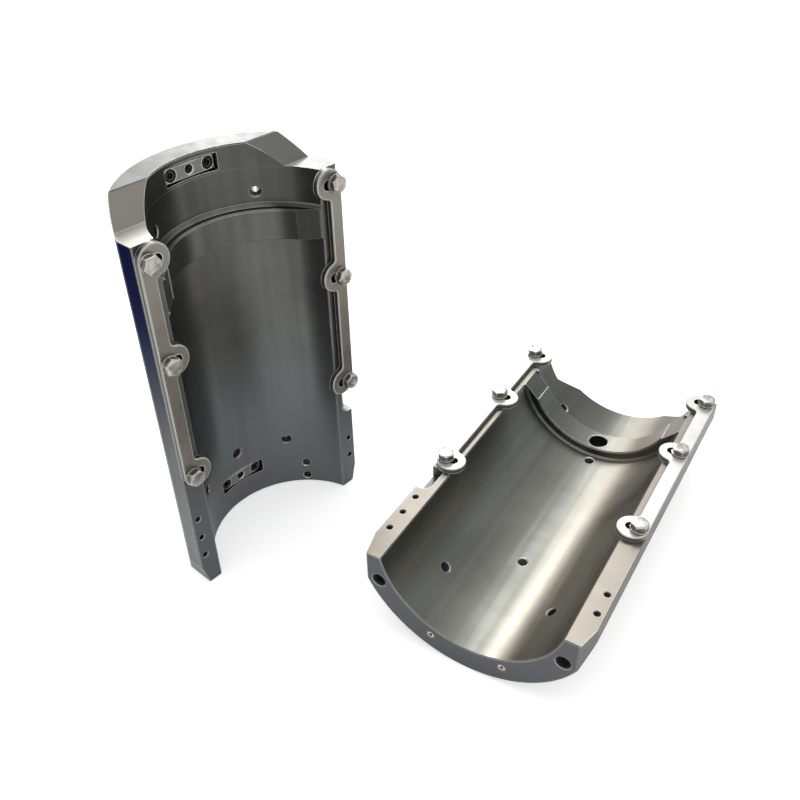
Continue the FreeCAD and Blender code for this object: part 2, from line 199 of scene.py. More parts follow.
class MouldFinishes(PropertyGroup):
    """Colours of the finishes."""
    standing: FloatVectorProperty(name="Standing shell", description="Anodised colour", subtype="COLOR",
                                  default=(0.128, 0.130, 0.122), min=0, max=1)
    lying: FloatVectorProperty(name="Lying shell", description="Anodised colour", subtype="COLOR",
                               default=(0.130, 0.133, 0.119), min=0, max=1)
    # The strips are one ground steel: painted light makes the lying strips' colour much lighter, and
    # painted shade makes the standing strips' darker
    standing_strip: FloatVectorProperty(name="Standing strips", description="Ground steel",
                                        subtype="COLOR", default=(0.25, 0.236, 0.203), min=0, max=1)
    lying_strip: FloatVectorProperty(name="Lying strips", description="Ground steel", subtype="COLOR",
                                     default=(0.60, 0.59, 0.56), min=0, max=1)
    zinc: FloatVectorProperty(name="Zinc", description="Bolts and washers", subtype="COLOR",
                              default=(0.46, 0.445, 0.40), min=0, max=1)
    bar: FloatVectorProperty(name="Bars", description="Ground steel of the bars", subtype="COLOR",
                             default=(0.21, 0.215, 0.185), min=0, max=1)
    black: FloatVectorProperty(name="Black screws", description="Black oxide", subtype="COLOR",
                               default=(0.014, 0.014, 0.017), min=0, max=1)
    brass: FloatVectorProperty(name="Brass", description="Screw plugs", subtype="COLOR",
                               default=(0.95, 0.82, 0.56), min=0, max=1)
    # Thread colour: oil, and painted shade for the dark inside of the holes
    thread: FloatVectorProperty(name="Threads", description="Oiled metal of the threads", subtype="COLOR",
                                default=(0.03, 0.032, 0.035), min=0, max=1)
    bare: FloatVectorProperty(name="Bare rims", description="Bare aluminium of the bevelled rims",
                              subtype="COLOR", default=(0.66, 0.65, 0.62), min=0, max=1)
    floor: FloatVectorProperty(name="Floor", description="Colour of the floor", subtype="COLOR",
                               default=(0.94, 0.94, 0.94), min=0, max=1)


# Materials

def add(tree, kind, inputs=(), **settings):
    """Adds a node; inputs gives each socket, by name or number, a value or the socket that feeds it."""
    node = tree.nodes.new(kind)
    for key, value in settings.items():
        setattr(node, key, value)
    for key, value in dict(inputs).items():
        if isinstance(value, bpy.types.NodeSocket):
            tree.links.new(value, node.inputs[key])
        else:
            node.inputs[key].default_value = value
    return node


def math_node(tree, operation, a, b):
    """Output of a Math node."""
    return add(tree, "ShaderNodeMath", {0: a, 1: b}, operation=operation).outputs[0]


def product(tree, *shares):
    """Shares multiplied, so that it is 1 only where all of them are."""
    result = shares[0]
    for share in shares[1:]:
        result = math_node(tree, "MULTIPLY", result, share)
    return result


def ramp(tree, value, low, high, to_low=0.0, to_high=1.0):
    """A value taken smoothly from one range to another."""
    node = add(tree, "ShaderNodeMapRange", {"Value": value, "From Min": low, "From Max": high,
                                            "To Min": to_low, "To Max": to_high},
               interpolation_type="SMOOTHSTEP")
    return node.outputs["Result"]


def metal(name, colour, metallic, roughness, anisotropy=0.0):
    """A new material, its node tree and its Principled shader."""
    material = bpy.data.materials.new(name)
    material.use_nodes = True
    tree = material.node_tree
    shader = tree.nodes["Principled BSDF"]
    shader.inputs["Metallic"].default_value = metallic
    shader.inputs["Roughness"].default_value = roughness
    shader.inputs["Anisotropic"].default_value = anisotropy
    shader.inputs["Base Color"].default_value = (*colour, 1)
    return material, tree, shader


def local_point(tree, half):
    """Object coordinates taken into the frame of a half."""
    place, turn, _ = half_matrix(half).inverted().decompose()
    coordinates = add(tree, "ShaderNodeTexCoord").outputs["Object"]
    mapping = add(tree, "ShaderNodeMapping", {"Vector": coordinates, "Location": place,
                                              "Rotation": turn.to_euler()})
    return mapping.outputs["Vector"]


def noise(tree, vector, scale, detail, stretch=(1, 1, 1)):
    """Noise stretched along the axes, from 0 to 1."""
    stretched = add(tree, "ShaderNodeVectorMath", {0: vector, 1: stretch}, operation="MULTIPLY")
    node = add(tree, "ShaderNodeTexNoise", {"Vector": stretched.outputs[0], "Scale": scale,
                                            "Detail": detail, "Roughness": 0.55})
    return node.outputs["Fac"]


def mixed(tree, share, a, b):
    """Colour mixed from a to b by a share."""
    node = add(tree, "ShaderNodeMix", {"Factor": share}, data_type="RGBA")
    for socket, value in ((node.inputs[6], a), (node.inputs[7], b)):
        if isinstance(value, bpy.types.NodeSocket):
            tree.links.new(value, socket)
        else:
            socket.default_value = (*value, 1)
    return node.outputs[2]


def edge_mask(tree, radius, low=0.98, high=0.91):
    """1 along the sharp edges and 0 on the open surface, from the rounded normal."""
    rounded = add(tree, "ShaderNodeBevel", {"Radius": radius}, samples=6).outputs["Normal"]
    plain = add(tree, "ShaderNodeNewGeometry").outputs["Normal"]
    dot = add(tree, "ShaderNodeVectorMath", {0: rounded, 1: plain}, operation="DOT_PRODUCT")
    return ramp(tree, dot.outputs["Value"], low, high)


def contact_shade(tree, tone, distance):
    """Painted shade: darkens a colour in the gaps and corners, where the parts shade each other."""
    near = add(tree, "ShaderNodeAmbientOcclusion", {"Distance": distance}, samples=8).outputs["AO"]
    return mixed(tree, ramp(tree, near, 0.35, 0.85), CONTACT_SHADE_COLOUR, tone)


def flank_shade(tree, tone, front, dark):
    """Painted shade: takes the colour to a dark one on the faces that turn away from the front direction.
    """
    normal = add(tree, "ShaderNodeNewGeometry").outputs["Normal"]
    facing = add(tree, "ShaderNodeVectorMath", {0: normal, 1: front}, operation="DOT_PRODUCT")
    return mixed(tree, ramp(tree, facing.outputs["Value"], 0.8, 0.2), tone, dark)


def front_of(half):
    """Direction out of the parting face of a half."""
    return tuple(half_matrix(half).to_3x3() @ Vector((0, -1, 0)))


def rubbed_and_highlit_edges(tree, shader, tone, share, bright, metallic):
    """Takes the colour to a bright one along the edges, for rubbed metal and a painted edge highlight;
    there the finish is also less of a mirror.
    """
    tree.links.new(mixed(tree, share, tone, bright), shader.inputs["Base Color"])
    tree.links.new(ramp(tree, share, 0, 1, metallic, 0.35), shader.inputs["Metallic"])


def scaled(colour, factor):
    """A colour made lighter or darker."""
    return tuple(min(1.0, c * factor) for c in colour)


def bumped(tree, shader, height, strength):
    """Drives the shader's normal by a height, for relief as fine as a machined surface's."""
    bump = add(tree, "ShaderNodeBump", {"Height": height, "Distance": 0.03 * MM, "Strength": strength})
    tree.links.new(bump.outputs["Normal"], shader.inputs["Normal"])


def shell_spot(tree, half):
    """The sockets for a point of a shell."""
    point = local_point(tree, half)
    x, y, z = add(tree, "ShaderNodeSeparateXYZ", {0: point}).outputs
    deep = math_node(tree, "ADD", y, AXIS_RECESS)
    across = add(tree, "ShaderNodeCombineXYZ", {0: x, 1: deep}).outputs[0]
    radius = add(tree, "ShaderNodeVectorMath", {0: across}, operation="LENGTH").outputs["Value"]
    angle = math_node(tree, "ARCTAN2", x, deep)
    inside = ramp(tree, radius, BORE_RADIUS + 0.5 * MM, BORE_RADIUS + 0.2 * MM)
    return Spot(point, x, y, z, radius, angle, inside)


def standing_light_and_shade(tree, shader, tone, colour, spot):
    """Painted light and shade of the standing half, and the share of its bore's lead-in, which is painted
    in shade and so gets no bright edges.
    """
    tones = STANDING_LIGHT_AND_SHADE

    # Painted reflection: cooler towards the bottom end, and lighter on the bore
    cool = mixed(tree, spot.inside, tones["cool reflecting face"], tones["cool reflecting bore"])
    tone = mixed(tree, ramp(tree, spot.z, 0.22, 0.08, 0, 0.8), tone, cool)

    # Painted light and shade on the slope above the land, found by the way it faces: lighter on the left,
    # darker on the right
    normal = add(tree, "ShaderNodeNewGeometry").outputs["Normal"]
    up = add(tree, "ShaderNodeSeparateXYZ", {0: normal}).outputs[2]
    slope = product(tree, ramp(tree, up, 0.15, 0.25), ramp(tree, up, 0.97, 0.95),
                    ramp(tree, spot.z, LAND_HEIGHT + 0.2 * MM, LAND_HEIGHT + 0.6 * MM))
    slope_tone = mixed(tree, ramp(tree, spot.x, -0.02, 0.02), tones["lit left slope"], tones["shaded right slope"])
    tone = mixed(tree, slope, tone, slope_tone)

    # Painted reflection on the left side: pale at the bottom and blue towards the top, with a blue tint
    # in its gloss
    side = product(tree, ramp(tree, spot.x, -0.080, -0.088), ramp(tree, spot.radius, 0.093, 0.094),
                   ramp(tree, spot.y, 0.0003, 0.0007),
                   ramp(tree, spot.z, LAND_HEIGHT - 0.5 * MM, LAND_HEIGHT - 1.5 * MM))
    pale = product(tree, side, ramp(tree, spot.z, 0.13, 0.03, 0, 0.6))
    tone = mixed(tree, pale, tone, tones["lit pale side"])
    blue = product(tree, side, ramp(tree, spot.z, 0.10, 0.31, 0, 0.96))
    tone = mixed(tree, blue, tone, tones["blue reflecting side"])
    tree.links.new(mixed(tree, blue, (1, 1, 1), tones["blue reflection tint"]), shader.inputs["Specular Tint"])

    # Painted shade on the top face, and painted light and shade on the land: lighter on the left, darker
    # on the right
    top = ramp(tree, spot.z, TOP_HEIGHT - 1.0 * MM, TOP_HEIGHT - 0.3 * MM)
    tone = mixed(tree, top, tone, scaled(colour, 0.2))
    land = math_node(tree, "COMPARE", spot.z, LAND_HEIGHT)
    land.node.inputs[2].default_value = 0.4 * MM
    land_tone = mixed(tree, ramp(tree, spot.x, -0.06, 0.05), tones["lit left land"], tones["shaded right land"])
    tone = mixed(tree, land, tone, land_tone)

    # Painted shade on the lead-in at the upper right of the bore
    lead_in_shade = product(tree, ramp(tree, spot.x, 0.050, 0.058), ramp(tree, spot.z, 0.250, 0.256, 0, 0.9))
    within = ramp(tree, spot.radius, BORE_RADIUS - 0.5 * MM, BORE_RADIUS - 1.5 * MM)
    tone = mixed(tree, product(tree, within, lead_in_shade), tone, scaled(colour, 0.25))
    return tone, product(tree, lead_in_shade, spot.inside)


def lying_light_and_shade(tree, tone, spot):
    """Painted light and shade of the lying half."""
    tones = LYING_LIGHT_AND_SHADE

    # Painted light and shade on the bore: lit and warm on its right, shaded on its left
    warm = product(tree, spot.inside, ramp(tree, spot.angle, 0.0, 0.5, 0, 0.75))
    tone = mixed(tree, warm, tone, tones["lit warm bore"])
    shade = product(tree, spot.inside, ramp(tree, spot.angle, -0.4, -1.2, 0, 0.6))
    tone = mixed(tree, shade, tone, tones["shaded bore"])

    # Painted shade on the bottom end, and painted light on the parting face, stronger on the right
    tone = mixed(tree, ramp(tree, spot.z, 0.0006, 0.0003), tone, tones["bottom end"])
    face_tone = mixed(tree, ramp(tree, spot.x, -0.05, 0.05), tones["lit left face"], tones["lit right face"])
    return mixed(tree, ramp(tree, spot.y, 0.0004, 0.0002), tone, face_tone)


def anodised(half, colour):
    """Satin hard-anodised aluminium: turned round the bore, milled on the flat faces."""
    metallic = 0.95
    material, tree, shader = metal("anodised_" + half, colour, metallic, 0.32, 0.6)
    spot = shell_spot(tree, half)
    back = ramp(tree, spot.radius, OUTER_RADIUS - 0.5 * MM, OUTER_RADIUS - 0.2 * MM)
    turned = math_node(tree, "MAXIMUM", spot.inside, back)
    around = add(tree, "ShaderNodeCombineXYZ", {0: math_node(tree, "MULTIPLY", spot.angle, 0.08),
                                                1: spot.radius, 2: spot.z}).outputs[0]
    lines = noise(tree, around, 900, 2, (0.02, 0.4, 1.6))
    bands = noise(tree, around, 60, 2, (0.05, 0.4, 1.0))
    streaks = noise(tree, around, 38, 2, (2.0, 1.0, 0.06))
    cloud = noise(tree, spot.point, 14, 4)
    milled = noise(tree, spot.point, 700, 3, (1.0, 1.0, 0.25))
    grain = noise(tree, spot.point, 3800, 1)

    # Colour: patchy, darker at the upper end of the bore, with painted light and shade by face, and
    # painted contact shade in the gaps
    patchy = math_node(tree, "ADD", cloud, streaks)
    tone = mixed(tree, ramp(tree, patchy, 0.7, 1.3), scaled(colour, 0.84), scaled(colour, 1.14))
    upper = product(tree, spot.inside, ramp(tree, spot.z, 0.292, 0.296, 0, 0.45))
    tone = mixed(tree, upper, tone, scaled(colour, 0.45))
    # Edges rubbed bright with a painted edge highlight, taken out in the standing half where its lead-in
    # is painted in shade
    rub_and_highlight = product(tree, edge_mask(tree, 1.2 * MM), ramp(tree, cloud, 0.2, 0.75, 0.55, 0.9))
    if half == "standing":
        tone, lead_in_shade_share = standing_light_and_shade(tree, shader, tone, colour, spot)
        rub_and_highlight = product(tree, rub_and_highlight, math_node(tree, "SUBTRACT", 1.0, lead_in_shade_share))
    else:
        tone = lying_light_and_shade(tree, tone, spot)
    rubbed_and_highlit_edges(tree, shader, contact_shade(tree, tone, 4 * MM), rub_and_highlight, RUBBED_AND_HIGHLIT_ALUMINIUM, metallic)

    # Gloss and relief, with the highlights drawn out round the bore
    rough = ramp(tree, streaks, 0.3, 0.7, 0.37, 0.29)
    rough = math_node(tree, "ADD", rough, ramp(tree, bands, 0.3, 0.7, -0.02, 0.02))
    tree.links.new(rough, shader.inputs["Roughness"])
    height = add(tree, "ShaderNodeMix", {0: turned, 2: milled, 3: lines}, data_type="FLOAT").outputs[0]
    height = math_node(tree, "ADD", height, math_node(tree, "MULTIPLY", grain, 0.25))
    bumped(tree, shader, height, 0.35)
    axis = half_matrix(half).to_3x3() @ Vector((0.04, 0, 1))
    along = add(tree, "ShaderNodeCombineXYZ", {0: axis.x, 1: axis.y, 2: axis.z})
    tree.links.new(along.outputs[0], shader.inputs["Tangent"])
    return material


def ground_steel(name, half, colour, metallic, roughness, stretch):
    """Ground steel with fine lines one way, edges rubbed bright with a painted highlight, painted shade
    on its flanks and painted contact shade in its gaps.
    """
    material, tree, shader = metal(name, colour, metallic, roughness, 0.3)
    point = local_point(tree, half)
    lines = noise(tree, point, 1400, 3, stretch)
    cloud = noise(tree, point, 30, 3)
    tone = mixed(tree, ramp(tree, cloud, 0.3, 0.75), scaled(colour, 0.9), scaled(colour, 1.08))
    tone = flank_shade(tree, tone, front_of(half), scaled(colour, 0.3))
    tone = contact_shade(tree, tone, 4 * MM)
    rubbed_and_highlit_edges(tree, shader, tone, edge_mask(tree, 1.3 * MM, 0.985, 0.93), RUBBED_AND_HIGHLIT_STEEL, metallic)
    rough = math_node(tree, "ADD", ramp(tree, lines, 0.3, 0.7, roughness - 0.03, roughness + 0.03),
                      ramp(tree, cloud, 0.3, 0.8, -0.02, 0.03))
    tree.links.new(rough, shader.inputs["Roughness"])
    bumped(tree, shader, lines, 0.06)
    return material


def small_metal(name, colour, roughness, rub_and_highlight_share, mottle=0.1, metallic=0.9, specular=0.5, front=None):
    """Finish of a small turned or plated piece, its edges rubbed bright and given a painted highlight by
    a share.

    Given the direction that its front faces, its flanks get painted shade; its gaps and corners get
    painted contact shade.
    """
    material, tree, shader = metal(name, colour, metallic, roughness)
    shader.inputs["Specular IOR Level"].default_value = specular
    point = add(tree, "ShaderNodeTexCoord").outputs["Object"]
    cloud = noise(tree, point, 260, 4)
    fine = noise(tree, point, 2600, 2)
    tone = mixed(tree, ramp(tree, cloud, 0.3, 0.75), scaled(colour, 1 - mottle),
                 scaled(colour, 1 + mottle))
    gap, edge = 3 * MM, 0.6 * MM
    if front:
        gap, edge = 4 * MM, 1.2 * MM
        tone = flank_shade(tree, tone, front, scaled(colour, 0.32))
    rub_and_highlight = product(tree, edge_mask(tree, edge, 0.992, 0.955), rub_and_highlight_share)
    bright = tuple(0.4 * c + 0.55 for c in colour)
    rubbed_and_highlit_edges(tree, shader, contact_shade(tree, tone, gap), rub_and_highlight, bright, metallic)
    tree.links.new(ramp(tree, cloud, 0.3, 0.75, roughness + 0.07, roughness - 0.05),
                   shader.inputs["Roughness"])
    bumped(tree, shader, fine, 0.4)
    return material


def zinc_plated(name, half, mottle):
    """Bright zinc on the bolts or washers of a half, with painted shade on the flanks that turn away from
    its front.
    """
    colour = tuple(bpy.context.scene.mould_finishes.zinc)
    return small_metal(name, colour, 0.2, 0.9, mottle, metallic=0.8, front=front_of(half))


def once(name, make, *values, **settings):
    """The material of this name, made the first time it is asked for."""
    return bpy.data.materials.get(name) or make(name, *values, **settings)


def dress(node, material):
    """Gives a carried-over node one material."""
    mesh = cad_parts[node].data
    mesh.materials.clear()
    mesh.materials.append(material)


# Modelling helpers

def deselect():
    """Leaves nothing selected."""
    if bpy.context.object and bpy.context.object.mode != "OBJECT":
        bpy.ops.object.mode_set(mode="OBJECT")
    bpy.ops.object.select_all(action="DESELECT")


def select_only(*pieces):
    """Selects these pieces alone, the first of them active."""
    deselect()
    for piece in pieces:
        piece.select_set(True)
    bpy.context.view_layer.objects.active = pieces[0]


def named(name):
    """The primitive just added, named, with its place and turn taken into its mesh."""
    piece = bpy.context.object
    piece.name = name
    bpy.ops.object.transform_apply(location=True, rotation=True, scale=True)
    return piece


def bevel_end(piece, height, width, segments):
    """Bevels the edges of a piece that lie at a height."""
    bpy.ops.object.mode_set(mode="EDIT")
    bpy.ops.mesh.select_mode(type="EDGE")
    bpy.ops.mesh.select_all(action="DESELECT")
    bpy.ops.object.mode_set(mode="OBJECT")
    mesh = piece.data
    for edge in mesh.edges:
        edge.select = all(abs(mesh.vertices[i].co.z - height) < 1e-6 for i in edge.vertices)
    bpy.ops.object.mode_set(mode="EDIT")
    bpy.ops.mesh.bevel(offset=width, segments=segments)
    bpy.ops.object.mode_set(mode="OBJECT")


def cylinder(name, vertices, radius, low, high):
    """A prism or round bar along z between two heights."""
    deselect()
    bpy.ops.mesh.primitive_cylinder_add(vertices=vertices, radius=radius, depth=high - low,
                                        location=(0, 0, (low + high) / 2))
    return named(name)


def ring(name, inner, outer, low, high, steps):
    """A ring along z, its square section spun round the axis."""
    deselect()
    bpy.ops.mesh.primitive_plane_add(size=1, location=((inner + outer) / 2, 0, (low + high) / 2),
                                     rotation=(math.pi / 2, 0, 0))
    bpy.context.object.scale = (outer - inner, high - low, 1)
    piece = named(name)
    bpy.ops.object.mode_set(mode="EDIT")
    bpy.ops.mesh.select_all(action="SELECT")
    bpy.ops.mesh.delete(type="ONLY_FACE")
    bpy.ops.mesh.select_mode(type="EDGE")
    bpy.ops.mesh.select_all(action="SELECT")
    bpy.ops.mesh.spin(steps=steps, angle=2 * math.pi, center=(0, 0, 0), axis=(0, 0, 1))
    bpy.ops.mesh.select_all(action="SELECT")
    bpy.ops.mesh.remove_doubles(threshold=0.00001)
    bpy.ops.mesh.normals_make_consistent(inside=False)
    bpy.ops.object.mode_set(mode="OBJECT")
    return piece


def coil(name, radius, pitch, start, end, steps):
    """Thread ridge of a hole along +z, standing 0.3 of the pitch proud of the wall."""
    deselect()
    bpy.ops.mesh.primitive_circle_add(vertices=3, radius=pitch * 0.5, fill_type="NOTHING",
                                      rotation=(math.pi / 2, -math.pi / 2, 0))
    piece = named(name)
    reach = min(vertex.co.x for vertex in piece.data.vertices)
    for vertex in piece.data.vertices:
        vertex.co.x += radius - 0.3 * pitch - reach
        vertex.co.z += start
    modifier = piece.modifiers.new("turns", "SCREW")
    modifier.axis = "Z"
    modifier.screw_offset = pitch
    modifier.iterations = int((end - start) / pitch)
    modifier.steps = steps
    modifier.use_merge_vertices = False
    bpy.ops.object.modifier_apply(modifier=modifier.name)
    bpy.ops.object.mode_set(mode="EDIT")
    bpy.ops.mesh.select_all(action="SELECT")
    bpy.ops.mesh.fill_holes(sides=3)
    bpy.ops.mesh.select_all(action="SELECT")
    bpy.ops.mesh.normals_make_consistent(inside=False)
    bpy.ops.object.mode_set(mode="OBJECT")
    bpy.ops.object.shade_smooth_by_angle(angle=SHARP_ANGLE)
    return piece


def rim(name, radius, bevel, share, steps):
    """Bare conical rim on the inner share of the bevelled mouth of a hole along +z.

    It stands a skin's thickness proud of the bevel, and its back lies in the metal.
    """
    skin = 0.04 * MM
    piece = ring(name, radius - skin, radius + share * bevel, 0, bevel, steps)
    for vertex in piece.data.vertices:
        outer = math.hypot(vertex.co.x, vertex.co.y) > radius + bevel / 4
        front = vertex.co.z < bevel / 2
        if outer:
            vertex.co.z = (1 - share) * bevel + (-skin if front else 3 * skin)
        elif front:
            vertex.co.z = bevel - skin
    return piece


def join(piece, other):
    """Joins another piece to a piece, which keeps its name."""
    select_only(piece, other)
    bpy.ops.object.join()


def combine(piece, tool, operation):
    """Joins, cuts or trims a piece with a tool, which is then deleted."""
    select_only(piece)
    modifier = piece.modifiers.new("combine", "BOOLEAN")
    modifier.object = tool
    modifier.operation = operation
    modifier.solver = "EXACT"
    bpy.ops.object.modifier_apply(modifier=modifier.name)
    bpy.data.objects.remove(tool)


def finish_edges(piece, width):
    """Rounds the sharp edges of a piece and shades it."""
    select_only(piece)
    modifier = piece.modifiers.new("round", "BEVEL")
    modifier.width = width
    modifier.segments = 2
    modifier.limit_method = "ANGLE"
    modifier.angle_limit = SHARP_ANGLE
    bpy.ops.object.modifier_apply(modifier=modifier.name)
    bpy.ops.object.shade_smooth_by_angle(angle=SHARP_ANGLE)


def placed_copy(pattern, name, matrix, material, slot, *nodes):
    """A copy of a pattern with its own mesh, set at its place, which may stand for CAD nodes.

    With no material given, it keeps the pattern's.
    """
    copy = pattern.copy()
    copy.data = pattern.data.copy()
    copy.name = name
    copy.data.name = name
    bpy.context.scene.collection.objects.link(copy)
    copy.matrix_world = matrix
    select_only(copy)
    bpy.ops.object.transform_apply(location=True, rotation=True, scale=True)
    if material:
        copy.data.materials.clear()
        copy.data.materials.append(material)
    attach(copy, BODY)
    if nodes:
        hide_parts(*nodes)


def into_face(half, across, front, height, twist=0.0):
    """Matrix of a piece whose z axis runs into the parting face, standing at a distance before it."""
    turn = Matrix.Rotation(-math.pi / 2, 4, "X") @ Matrix.Rotation(twist, 4, "Z")
    return half_matrix(half) @ Matrix.Translation((across, -front, height)) @ turn


def into_wall(half, angle_degrees, height, radius):
    """Matrix of a piece whose z axis runs out through the wall, starting at a radius of the bore."""
    angle = math.radians(angle_degrees)
    outwards = Vector((math.sin(angle), math.cos(angle), 0))
    place = Vector((0, -AXIS_RECESS, height)) + outwards * radius
    turn = outwards.to_track_quat("Z", "X").to_matrix().to_4x4()
    return half_matrix(half) @ Matrix.Translation(place) @ turn


def hole_places(kind):
    """Half, name and matrix of every hole of a kind."""
    if kind in BORE_HOLES:
        start = RING_RADIUS if kind == "window" else BORE_RADIUS
        for half, name, degrees, height in BORE_HOLES[kind]:
            yield half, name, into_wall(half, degrees, height * MM, start)
    elif kind == "eye":
        for bar, height in EYE_HEIGHTS.items():
            yield "standing", bar, into_face("standing", 0, AXIS_RECESS - BORE_RADIUS, height)
    else:
        for half in HALVES:
            for side, sign in SIDES:
                if kind == "end":
                    place = Matrix.Translation((sign * END_HOLE_ACROSS, END_HOLE_DEEP, 0))
                    yield half, side, half_matrix(half) @ place
                else:
                    for k in range(LEG_HOLES[side]):
                        height = LEG_HOLE_START + k * LEG_HOLE_SPACING
                        yield (half, "%s_%d" % (side, k + 1),
                               into_face(half, sign * LEG_HOLE_ACROSS, 0, height))


def hexagon_radius(flats):
    """Corner radius of a hexagon from its width across flats."""
    return flats / 2 / math.cos(math.pi / 6)


def bolt_places(sizes):
    """Half, side, level, place across and height of each bolt."""
    for half in HALVES:
        for side, sign in SIDES:
            for level, height in zip(LEVELS, sizes.bolt_heights):
                yield half, side, level, sign * sizes.bolt_across, height


# Operators

class MOULD_OT_shells(Operator):
    """Satin hard-anodised finish on both shells, in the colour of each half."""
    bl_idname = "mould.shells"
    bl_label = "Shells"

    def execute(self, context):
        finishes = context.scene.mould_finishes
        for half in HALVES:
            dress(half + "_shell", anodised(half, tuple(getattr(finishes, half))))
        return {"FINISHED"}


class MOULD_OT_strips(Operator):
    """Ground steel on the four clamping strips."""
    bl_idname = "mould.strips"
    bl_label = "Strips"

    def execute(self, context):
        finishes = context.scene.mould_finishes
        for half in HALVES:
            # Painted light and shade: each half's strips get their own colour, much lighter on the lying
            # half
            colour = tuple(getattr(finishes, half + "_strip"))
            material = ground_steel("strip_steel_" + half, half, colour, STRIP_METALLIC[half], 0.3,
                                    LINES_ALONG)
            for side, _ in SIDES:
                dress(half + "_" + side + "_strip", material)
        return {"FINISHED"}


class MOULD_OT_bolts(Operator):
    """Twelve hexagon bolts with crowned heads."""
    bl_idname = "mould.bolts"
    bl_label = "Bolts"

    def execute(self, context):
        sizes = context.scene.mould_sizes
        head = cylinder("bolt_pattern", 6, hexagon_radius(sizes.head_width), -sizes.head_height, 0)

        # What a cone leaves of the hexagon has its corners taken off at the outer end
        crown = 0.46 * sizes.head_width
        spread = sizes.head_height / math.tan(math.radians(32))
        deselect()
        bpy.ops.mesh.primitive_cone_add(vertices=sizes.steps, radius1=crown, radius2=crown + spread,
                                        depth=sizes.head_height, location=(0, 0, -sizes.head_height / 2))
        combine(head, context.object, "INTERSECT")

        front = sizes.strip_thickness + sizes.washer_thickness
        length = front + sizes.grip
        shank = cylinder("shank", sizes.steps, sizes.shank / 2, -0.3 * MM, length)
        bevel_end(shank, length, 0.8 * MM, 1)
        combine(head, shank, "UNION")
        finish_edges(head, 0.12 * MM)

        # Each head is turned another way, as tightening leaves it; the low one stands for its row
        for k, (half, side, level, across, height) in enumerate(bolt_places(sizes)):
            material = once("zinc_bolt_" + half, zinc_plated, half, 0.25)
            matrix = into_face(half, across, front, height, 0.35 + 0.55 * k)
            placed_copy(head, "bolt_%s_%s_%s" % (half, side, level), matrix, material, "bolt_zinc",
                        *([half + "_" + side + "_bolts"] if level == "low" else []))
        bpy.data.objects.remove(head)
        return {"FINISHED"}


class MOULD_OT_washers(Operator):
    """Twelve flat washers with rounded edges."""
    bl_idname = "mould.washers"
    bl_label = "Washers"

    def execute(self, context):
        sizes = context.scene.mould_sizes
        pattern = ring("washer_pattern", sizes.washer_bore / 2, sizes.washer_width / 2,
                       0, sizes.washer_thickness, sizes.steps)
        finish_edges(pattern, 0.22 * MM)
        front = sizes.strip_thickness + sizes.washer_thickness
        for half, side, level, across, height in bolt_places(sizes):
            material = once("zinc_washer_" + half, zinc_plated, half, 0.1)
            placed_copy(pattern, "washer_%s_%s_%s" % (half, side, level),
                        into_face(half, across, front, height), material, "washer_zinc",
                        *([half + "_" + side + "_washers"] if level == "low" else []))
        bpy.data.objects.remove(pattern)
        return {"FINISHED"}


class MOULD_OT_bars(Operator):
    """Ground steel on the two locking bars."""
    bl_idname = "mould.bars"
    bl_label = "Bars"

    def execute(self, context):
        colour = tuple(context.scene.mould_finishes.bar)
        material = ground_steel("bar_steel", "standing", colour, 0.6, 0.34, LINES_ACROSS)
        dress("top_lock_bar", material)
        dress("bottom_lock_bar", material)
        return {"FINISHED"}


class MOULD_OT_screws(Operator):
    """Four black socket screws."""
    bl_idname = "mould.screws"
    bl_label = "Socket screws"

    def execute(self, context):
        sizes = context.scene.mould_sizes
        steps = sizes.steps
        head = cylinder("screw_pattern", steps, sizes.screw_head / 2, 0, 6 * MM)
        bevel_end(head, 0, 0.5 * MM, 2)
        combine(head, cylinder("shank", steps, 3 * MM, 5.8 * MM, 18.6 * MM), "UNION")
        combine(head, cylinder("mouth", steps, 3.1 * MM, -1 * MM, 0.35 * MM), "DIFFERENCE")
        combine(head, cylinder("key", 6, hexagon_radius(sizes.screw_key), -1 * MM, 3 * MM), "DIFFERENCE")
        finish_edges(head, 0.1 * MM)
        black = tuple(context.scene.mould_finishes.black)
        material = once("black_oxide", small_metal, black, 0.34, 0.3, metallic=0.6, specular=0.2)
        for bar in ("top", "bottom"):
            low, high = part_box(bar + "_lock_bar")
            for side, sign in SIDES:
                place = Vector((STANDING_FOOT.x + sign * sizes.screw_spacing / 2, low.y + 0.4 * MM,
                                (low.z + high.z) / 2))
                turn = Matrix.Rotation(-math.pi / 2, 4, "X") @ Matrix.Rotation(0.4 + sign, 4, "Z")
                placed_copy(head, "socket_screw_%s_%s" % (bar, side), Matrix.Translation(place) @ turn,
                            material, "black_screw", *([bar + "_bar_screws"] if side == "left" else []))
        bpy.data.objects.remove(head)
        return {"FINISHED"}


class MOULD_OT_plugs(Operator):
    """Brass on the screw plugs of the coolant channels."""
    bl_idname = "mould.plugs"
    bl_label = "Plugs"

    def execute(self, context):
        material = once("turned_brass", small_metal, tuple(context.scene.mould_finishes.brass), 0.22, 0.8)
        for half in HALVES:
            dress(half + "_channel_plugs", material)
        return {"FINISHED"}


